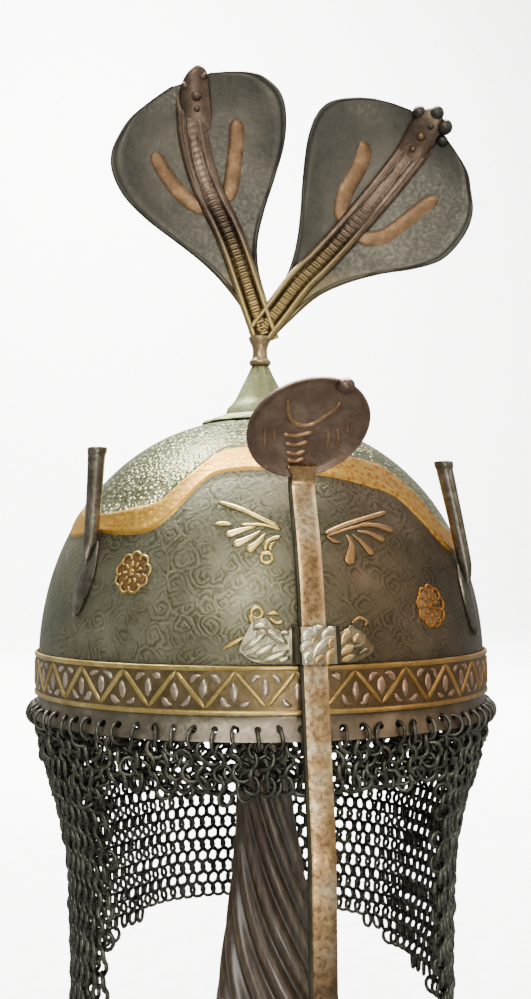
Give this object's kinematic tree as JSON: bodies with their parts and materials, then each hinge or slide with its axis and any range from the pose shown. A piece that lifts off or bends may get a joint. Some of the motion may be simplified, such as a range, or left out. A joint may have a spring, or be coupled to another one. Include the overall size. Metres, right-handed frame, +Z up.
{
  "type": "indo-persian helmet on a stand",
  "caption": "Domed steel helmet with a gilt brow band, forked cobra crest, sliding nasal, plume sockets and a mail curtain, on a fluted display column with a round foot.",
  "frame": {"origin": "centre of the stand foot's underside, on the floor", "axes": "+Z up along the stand's column, -Y towards the nasal at the front, +X to the right as seen from the front"},
  "size_m": [0.218, 0.2339, 0.5556],
  "materials": {
    "bowl_steel": "etched steel with a warm grey-green patina and gilt crown border",
    "band_gilt": "browned ground with gilt raised lines",
    "crown_patina": "green patinated brass",
    "crest_bronze": "dark brown patina, rubbed on the ridges",
    "nasal_copper": "worn copper wash on steel",
    "bracket_gilt": "worn gilding on carved steel",
    "tube_steel": "dark steel",
    "mail_steel": "dark oiled steel rings",
    "stand_wood": "dark stained and waxed"
  },
  "bodies": {
    "helmet": {"bowl": "bowl_steel", "brow_band": "band_gilt", "crown_cone": "crown_patina", "finial_stem": "crest_bronze", "cobra_left": "crest_bronze", "cobra_right": "crest_bronze", "nasal_bracket": "bracket_gilt", "plume_tube_left": "tube_steel", "plume_tube_right": "tube_steel", "mail_curtain": "mail_steel", "stand_column": "stand_wood", "stand_cap": "stand_wood", "stand_foot": "stand_wood"},
    "nasal": {"nasal_bar": "nasal_copper"}
  },
  "joints": [
    {"name": "nasal_slide", "type": "slide", "parent": "helmet", "child": "nasal", "axis": [0, 0.1676, 0.9859], "range_m": [0, 0.04]}
  ]
}
